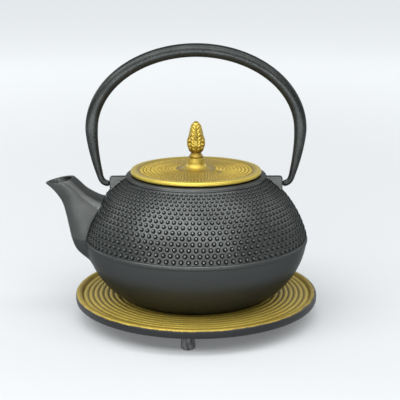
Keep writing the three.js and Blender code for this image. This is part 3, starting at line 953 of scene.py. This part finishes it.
def strokes(rows):
    """One mesh of raised strokes. rows is (inner radius, outer radius, count, width, height)."""
    points, faces = [], []
    turns = 2 * np.pi * np.arange(10) / 10
    for k, (inner, outer, count, width, height) in enumerate(rows):
        middle, half = (inner + outer) / 2, (outer - inner) / 2
        for i in range(count):
            turn = 2 * math.pi * (i + 0.5 * (k >= ALIGNED_ROWS and k % 2)) / count
            cos, sin = math.cos(turn), math.sin(turn)
            to_hole = math.hypot(middle * cos - HOLE["x"], middle * sin - HOLE["y"])
            if to_hole < half + HOLE["clear"]:
                continue
            rings = []
            for scale, lift in ((1.0, -0.6), (1.0, 0.0), (0.72, 0.75 * height), (0.3, height)):
                along = middle + half * np.cos(turns) * (1 if lift <= 0 else 0.25 + 0.75 * scale)
                side = width / 2 * np.sin(turns) * scale
                first = len(points)
                points.extend(zip(along * cos - side * sin + AXIS_X, along * sin + side * cos,
                                  field_height(along) + lift + LID_SEAT))
                rings.append(list(range(first, first + len(turns))))
            faces += [tuple(reversed(rings[0])), tuple(rings[-1])]
            for low, high in zip(rings, rings[1:]):
                faces += ring_faces(low, high)
    return make_object("strokes", points, faces)


# %% Rows of strokes, the steam hole and the finished lid
ROW_DEPTH = 2.68
STROKE_ROWS = 10
ALIGNED_ROWS = 3


def stroke_rows():
    rows = []
    for k in range(STROKE_ROWS):
        outer = 41.5 - k * ROW_DEPTH
        inner = outer - ROW_DEPTH - (0.35 if k >= ALIGNED_ROWS else 0.0)
        count = 100 if k < 6 else 64
        pitch = 2 * math.pi * (outer - ROW_DEPTH / 2) / count
        rows.append((inner, outer, count, 0.66 * pitch, 0.46 - 0.015 * k))
    return rows


lid = lid_disc()
combine(lid, strokes(stroke_rows()), "UNION")
hole_centre = (AXIS_X + HOLE["x"], HOLE["y"])
lip = [(HOLE["radius"] - 0.4, 3.0), (2.5, 3.0), (2.5, 4.25), (2.25, 4.5), (1.5, 4.5), (1.2, 4.3)]
combine(lid, turned("hole_lip", lip, 32, closed=True, height=LID_SEAT, centre=hole_centre), "UNION")
drill = [(0, -2), (HOLE["radius"], -2), (HOLE["radius"], 8), (0, 8)]
combine(lid, turned("drill", drill, 32, height=LID_SEAT, centre=hole_centre), "DIFFERENCE")
shade(lid, 38)
finish(lid, "lid", LID_GOLD, "gold_paint", "lid_plate")

# %% [markdown]
# ## The knob
# The knob is a small cast pine cone. Long leaf-like scales lie against a core, each with a smooth
# middle ridge and a row of round lobes down both its edges. The core is a turned shape whose radius
# is changed leaf by leaf: the outermost leaf at each place sets how far the surface stands out.

# %% Knob
KNOB_BASE = BOSS["top"]
KNOB_CORE = np.array([
    (0.0, 4.7), (0.4, 5.06), (1.3, 5.06), (1.8, 4.7), (2.6, 3.9), (3.6, 3.9), (5.0, 4.3),
    (7.0, 4.6), (9.0, 4.8), (13.0, 4.7), (15.5, 4.2), (18.0, 3.75), (20.0, 3.4), (22.0, 2.9),
    (24.0, 2.2), (25.5, 1.2), (26.5, 0.0),
])
LOBE_STEP = 2.7
LOBE = {"length": 2.0, "width": 1.3}
LEAVES = [
    # turn in degrees, foot, tip, half width of the smooth middle, stand-off, lobes stand-off
    (-90, 3.6, 26.3, 2.3, 0.95, 1.25), (90, 3.6, 26.3, 2.3, 0.95, 1.25),
    (0, 11.0, 26.0, 1.9, 0.80, 1.00), (180, 11.0, 26.0, 1.9, 0.80, 1.00),
    (-4, 4.2, 15.6, 2.2, 1.45, 2.0), (184, 4.2, 15.6, 2.2, 1.45, 2.0),
]


def blade(core, across, height, foot, tip, half, stand):
    """The surface of a leaf's smooth middle, 0 beside it."""
    share = (height - foot) / (tip - foot)
    if not 0 <= share <= 1:
        return np.zeros(len(across))
    bulge = 0.55 + 0.45 * math.sin(math.pi * min(share * 1.2, 1))
    width = half * bulge * math.sqrt(1 - share ** 4)
    inside = np.clip(1 - (across / max(width, 0.05)) ** 2, 0, 1)
    end = math.sqrt(max(1 - (2 * max(share - 0.5, 0)) ** 8, 0))
    ridge = 0.45 * np.clip(1 - np.abs(across) / 0.8, 0, 1) ** 0.8
    return np.where(inside > 0, core + end * (stand * inside ** 0.35 + ridge), 0)


def knob_skin(angles, height):
    """The cone's radius at each angle, at one height over the boss."""
    core = float(np.interp(height, KNOB_CORE[:, 0], KNOB_CORE[:, 1]))
    radius = np.full(len(angles), core)
    grown = float(np.interp(height, (3.5, 9.5), (0.30, 1.0)))
    for turn, foot, tip, half, stand, lobe_stand in LEAVES:
        side = (angles - math.radians(turn) + np.pi) % (2 * np.pi) - np.pi
        across = side * max(core + 0.5, 1.0)
        leaf = blade(core, across, height, foot, tip, half, stand)
        radius = np.maximum(radius, np.where(leaf > 0, core + grown * (leaf - core), 0))
        for j in range(int((tip - foot - 2.4) / LOBE_STEP) + 1):
            lobe_height = foot + 2.6 + j * LOBE_STEP
            rise = (lobe_height - foot) / (tip - foot)
            bulge = 0.75 + 0.50 * math.sin(math.pi * min(rise * 1.15, 1))
            out = half * bulge * (1 - 0.45 * rise ** 3)
            for way in (-1, 1):
                du, dv = way * across - out, height - lobe_height
                along, over = 0.78 * dv + 0.62 * du, 0.78 * du - 0.62 * dv
                left = 1 - (along / LOBE["length"]) ** 2 - (over / LOBE["width"]) ** 2
                stands = 0.25 + lobe_stand * np.sqrt(np.clip(left, 0, 1))
                lobe = core + grown * stands * (1 - 0.35 * rise ** 2)
                radius = np.maximum(radius, np.where(left > 0, lobe, 0))
    return radius


# %% The knob as one turned skin with its stud
STUD = [(0, -17.3), (1.6, -17.3), (2.0, -16.9), (2.0, 0.0)]
SCALES, CAP, CAP_SHARE = 9, 5, 0.55


def knob_cone():
    def reach(angles, r, z):
        if r == SCALES:
            return knob_skin(angles, z)
        if r == CAP:
            return knob_skin(angles, 26.1) * CAP_SHARE
        return np.full(len(angles), float(r))

    heights = [*np.linspace(0, 3.2, 11), *np.linspace(3.4, 15.2, 56), *np.linspace(15.4, 26.0, 50)]
    outline = STUD + [(SCALES, h) for h in heights] + [(CAP, 26.45), (0, 26.6)]
    return turned("pine_cone_knob", outline, 144, height=KNOB_BASE + LID_SEAT, reach=reach)


knob = shade(knob_cone(), 60)
finish(knob, "lid", KNOB_GOLD, "knob_gold", "knob")

# %% [markdown]
# Under the lid the knob's stud goes through a washer and a nut. Both have the small chamfers that
# every stamped washer and machined nut has. The nut's sides are a hexagon, cut back to a circle at
# both faces.

# %% Washer and nut
def hexagon(angles, r, z):
    """Holds the nut's outside to six flats and leaves its bore round."""
    if r < 3:
        return np.full(len(angles), r)
    return np.minimum(3.5 / np.cos((angles + np.pi / 6) % (np.pi / 3) - np.pi / 6), r)


washer = turned("stud_washer", [
    (2.3, 0.1), (2.4, 0), (5.8, 0), (6.0, 0.2), (6.0, 0.6), (5.8, 0.8), (2.4, 0.8), (2.3, 0.7),
], 64, closed=True, height=LID_SEAT - 0.8)
nut = turned("stud_nut", [
    (2.3, 0), (3.7, 0), (4.05, 0.35), (4.05, 2.85), (3.7, 3.2), (2.3, 3.2), (2.02, 2.9),
    (2.02, 0.3),
], 72, closed=True, height=LID_SEAT - 4.0, reach=hexagon)
finish(shade(washer, 30), "lid", STEEL, "stainless", "knob_washer")
finish(shade(nut, 30), "lid", STEEL, "stainless", "knob_nut")

# %% [markdown]
# ## The trivet
# The trivet is a round plate with a smooth raised rim. Its top is turned into rings, broad round
# ridges with narrow grooves between them. The ridges are part of the outline that is turned, so
# they need no cutting, and their crowns lie at the height of the pot's base, which rests on them.

# %% Trivet plate
GROOVES = [85.0, 80.6, 76.8, 73.0, 69.2, 65.4]
while GROOVES[-1] > 6:
    GROOVES.append(GROOVES[-1] - 3.84)
GROOVE_DEPTH = 1.45


def trivet_plate():
    outline = [
        (0, 12.0), (60, 12.0), (88.6, 12.0), (89.4, 12.25), (89.85, 12.8), (90, 13.7), (90, 15.0),
        (90, 16.0), (89.8, 17.0), (89.2, 17.8), (88.2, 18.35), (87.2, 18.5), (86.3, 18.4),
        (85.7, 17.9), (85.3, 17.0), (85.05, 16.0),
    ]
    for outer, inner in zip(GROOVES, GROOVES[1:]):
        for share in (0.06, 0.2, 0.36, 0.5, 0.64, 0.8, 0.94):
            crown = math.sin(math.pi * share) ** 0.55
            drop = GROOVE_DEPTH * (1 - crown)
            outline.append((outer - (outer - inner) * share, POT_BASE - drop))
    last = GROOVES[-1]
    outline += [(last - 0.3, POT_BASE - 0.9), (last - 1.2, POT_BASE - 0.2), (0, POT_BASE)]
    return turned("trivet_casting", outline, 224)


def middle_of(node):
    """The (x, y) middle of a fixed part, in millimetres."""
    low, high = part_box(node)
    middle = (low + high) / 2 / MM
    return middle.x, middle.y


FEET = ("trivet_foot_1", "trivet_foot_2", "trivet_foot_3")
SPIGOT_HOLE = [(0, 10), (3.3, 10), (3.3, 15.3), (0, 15.3)]
plate = trivet_plate()
for foot in FEET:
    hole = turned("spigot_hole", SPIGOT_HOLE, 24, centre=middle_of(foot))
    combine(plate, hole, "DIFFERENCE")
shade(plate, 50)
finish(plate, "trivet", TRIVET_GOLD, "gold_paint", "trivet_plate")

# %% [markdown]
# Three short posts carry the plate. They are rough castings: a little wider at the bottom, with a
# soft lower edge and a lumpy skin. Their spigots sit in blind holes in the plate.

# %% Trivet feet
def foot_post(node):
    centre = middle_of(node)
    wobble = np.random.default_rng(int(abs(centre[0] * 10)) + 7)
    phases = wobble.uniform(0, 6.28, 3)

    def lumpy(angles, r, z):
        if r < 4:
            return np.full(len(angles), r)
        waves = np.sin(3 * angles + phases[0] + z * 0.4) + 0.6 * np.sin(7 * angles + phases[1] - z)
        return r - 0.12 + 0.10 * waves

    outline = [(0, 0), (3.4, 0), (4.3, 0.15), (4.9, 0.6), (5.15, 1.3)]
    outline += [(5.05, z) for z in np.linspace(2.2, 5, 4)]
    outline += [(4.85, z) for z in np.linspace(6, 11.4, 6)]
    outline += [(4.9, 11.98), (3.0, 11.98), (3.0, 14.7), (2.7, 15.0), (0, 15.0)]
    post = turned(f"{node}_casting", outline, 40, centre=centre, reach=lumpy)
    return finish(shade(post, 40), "trivet", FOOT_IRON, "foot_iron", node)


for foot in FEET:
    foot_post(foot)

# %% [markdown]
# ## The infuser
# The basket is made of three stampings. A flanged ring hangs in the pot's mouth, a fine mesh wall
# is welded inside it, and a shallow pan closes the bottom. The mesh is real: a sheet divided into
# square openings, with an outer skin, an inner skin and walls in each opening.

# %% Infuser ring and pan
ring = turned("infuser_ring", [
    (37.9, -10), (38.4, -10), (38.4, -1.4), (38.6, -0.95), (39.2, -0.75), (42.5, -0.75),
    (42.8, -0.6), (42.8, -0.2), (42.5, -0.05), (38.8, -0.05), (38.1, -0.3), (37.9, -0.9),
], 160, closed=True, height=LID_SEAT)
finish(shade(ring, 35), "infuser", STEEL, "stainless", "infuser_rim")
pan = turned("infuser_pan", [
    (0, -50.5), (26, -50.5), (27, -50.7), (28, -51.1), (33.4, -51.1), (34.6, -50.9), (35.1, -50.4),
    (35.4, -46.2), (35.2, -46.0), (34.9, -46.1), (34.62, -46.4), (34.35, -49.9), (34.1, -50.25),
    (33.6, -50.3), (28, -50.3), (27, -49.9), (26, -49.7), (0, -49.7),
], 160, height=LID_SEAT)
finish(shade(pan, 35), "infuser", STEEL, "stainless", "infuser_base")

# %% Infuser mesh wall
COLUMNS, MESH_ROWS = 150, 32
MESH = {"top": -1.2, "plain": -10.0, "foot": -49.98, "foot_radius": 34.0, "top_radius": 37.6}


def infuser_mesh():
    weld = MESH["plain"] - 0.4
    openings = np.linspace(weld, MESH["foot"] + 0.8, MESH_ROWS + 1)
    levels = [MESH["top"], *openings, MESH["foot"]]
    points, faces, corner = [], [], {}

    def put(column, z, depth):
        """Adds the point at a column and height, that far inside the outer skin."""
        turn = 2 * math.pi * column / COLUMNS
        radii = (MESH["foot_radius"], MESH["top_radius"])
        r = np.interp(z, (MESH["foot"], MESH["plain"]), radii) - depth
        points.append((AXIS_X + r * math.cos(turn), r * math.sin(turn), z + LID_SEAT))
        return len(points) - 1

    for skin, depth in enumerate((0.0, 0.5)):
        for k, z in enumerate(levels):
            for i in range(COLUMNS):
                corner[skin, k, i] = put(i, z, depth)
    for k, (top, foot) in enumerate(zip(levels, levels[1:])):
        high, low = top + 0.2 * (foot - top), top + 0.8 * (foot - top)
        for i in range(COLUMNS):
            around = ((k, i), (k + 1, i), (k + 1, (i + 1) % COLUMNS), (k, (i + 1) % COLUMNS))
            outer, inner = ([corner[skin, row, side] for row, side in around] for skin in (0, 1))
            if k in (0, len(levels) - 2):
                faces += [tuple(outer), tuple(reversed(inner))]
                continue
            hole = ((i + 0.2, high), (i + 0.2, low), (i + 0.8, low), (i + 0.8, high))
            front, back = ([put(side, z, depth) for side, z in hole] for depth in (0.06, 0.44))
            for n in range(4):
                m = (n + 1) % 4
                faces.append((outer[n], outer[m], front[m], front[n]))
                faces.append((inner[m], inner[n], back[n], back[m]))
                faces.append((front[n], front[m], back[m], back[n]))
    for k, way in ((0, 1), (len(levels) - 1, -1)):
        for i in range(COLUMNS):
            j = (i + 1) % COLUMNS
            edge = (corner[0, k, i], corner[0, k, j], corner[1, k, j], corner[1, k, i])
            faces.append(edge[::way])
    return make_object("infuser_mesh_wall", points, faces)


finish(shade(infuser_mesh(), 35), "infuser", MESH_STEEL, "infuser_mesh", "infuser_wall")

# %% [markdown]
# ## Studio
# A pale paper floor runs far back, so that nothing but paper shows behind the pot. Its emission is
# painted light: weak near the pot, where it takes real shadows, and stronger far from it.

# %% Floor
PAPER = ((0.40, 0.412, 0.418), (0.42, 0.432, 0.438))


def paper_floor():
    left, right, front, back = -9000, 9000, -6000, 14000
    corners = [(left, front, 0), (right, front, 0), (right, back, 0), (left, back, 0)]
    floor = make_object("paper_floor", corners, [(0, 1, 2, 3)])
    material, tree, shader = new_material("white_paper")
    # Painted light: the floor's emission stands in for light, weaker near the pot.
    painted_floor_light = remap(tree, off_axis_radius(tree)[0], 0.0, 1.9, 0.15, 0.63)
    painted_floor_light.node.interpolation_type = "SMOOTHSTEP"
    dress(tree, shader, {
        "Base Color": blend_colour(tree, noise(tree, 3, 3), *PAPER),
        "Roughness": 0.9, "Specular IOR Level": 0.1,
        "Emission Color": (0.945, 0.98, 1.0, 1), "Emission Strength": painted_floor_light,
    })
    floor.data.materials.append(material)
    floor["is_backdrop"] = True


paper_floor()

# %% [markdown]
# Black enamel shows what stands round it. A long softbox overhead and one in front draw the soft
# bright bands over the shoulder and the lid's rim, a weak one in front lifts the bowl, and a panel
# that lies on the floor in front lights the spout and the bowl from below. Two small ones behind
# give the sides an edge. The room itself is darker in front than behind, so that the black stays
# black.

# %% Lights
SOFTBOXES = {
    # name: (place, point it faces, (width, height), brightness of its face)
    "overhead": ((0.0, -0.25, 1.5), (0.0, 0.0, 0.05), (3.0, 0.55), 4.3),
    "front_strip": ((-0.30, -1.10, 1.40), (0.0, 0.0, 0.08), (3.8, 0.70), 5.3),
    "front_fill": ((-0.45, -1.50, 0.50), (0.0, 0.0, 0.05), (1.6, 0.50), 2.1),
    "low_front_panel": ((-0.18, -0.86, 0.004), (-0.18, -0.86, 1.0), (1.8, 0.80), 6.8),
    "left_back": ((-1.50, 0.85, 0.75), (0.0, 0.0, 0.08), (0.8, 0.8), 3.0),
    "right_back": ((1.50, 0.85, 0.75), (0.0, 0.0, 0.08), (0.8, 0.8), 2.4),
}


def softbox(name, place, aim, size, radiance):
    """A rectangular soft light, not seen itself; radiance is how bright its face looks."""
    lamp = bpy.data.lights.new(name, "AREA")
    lamp.shape = "RECTANGLE"
    lamp.size, lamp.size_y = size
    lamp.energy = radiance * math.pi * size[0] * size[1]
    holder = bpy.data.objects.new(name, lamp)
    holder.location = place
    holder.rotation_euler = (Vector(aim) - Vector(place)).to_track_quat("-Z", "Y").to_euler()
    holder.visible_camera = False
    bpy.context.scene.collection.objects.link(holder)


def pale_room(front=0.22, back=0.62):
    """A plain room that is dimmer in front of the pot than behind it."""
    world = bpy.data.worlds.new("pale_room")
    world.use_nodes = True
    tree = world.node_tree
    way = tree.nodes.new("ShaderNodeTexCoord")
    parts = tree.nodes.new("ShaderNodeSeparateXYZ")
    tree.links.new(way.outputs["Generated"], parts.inputs["Vector"])
    strength = remap(tree, parts.outputs["Y"], -0.6, 0.6, front, back)
    air = tree.nodes["Background"].inputs
    air["Color"].default_value = (0.95, 0.975, 1.0, 1)
    tree.links.new(strength, air["Strength"])
    bpy.context.scene.world = world


for name, facts in SOFTBOXES.items():
    softbox(name, *facts)
pale_room()
bpy.context.scene.view_settings.view_transform = "Standard"

# %% [markdown]
# ## Camera
# The set is seen from a little above, through a long lens, nearly straight on.

# %% Camera
CAMERA_TILT = 13.67
CAMERA_PAN = 0.23
CAMERA_BACK = 0.717
CAMERA_HEIGHT = 0.2606
lens = bpy.data.cameras.new("camera")
lens.lens = 90
lens.sensor_width = 36
camera = bpy.data.objects.new("camera", lens)
camera.location = (AXIS_X * MM, -CAMERA_BACK, CAMERA_HEIGHT)
camera.rotation_euler = (math.radians(90 - CAMERA_TILT), 0, math.radians(-CAMERA_PAN))
bpy.context.scene.collection.objects.link(camera)
bpy.context.scene.camera = camera
print("camera at", [round(v, 3) for v in camera.location])

# %% Sizes and the end
low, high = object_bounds()
sizes = {"cad": [list(cad_low), list(cad_high)], "visual": [list(low), list(high)]}
for name, pair in sizes.items():
    print(name, [[round(v, 4) for v in corner] for corner in pair])
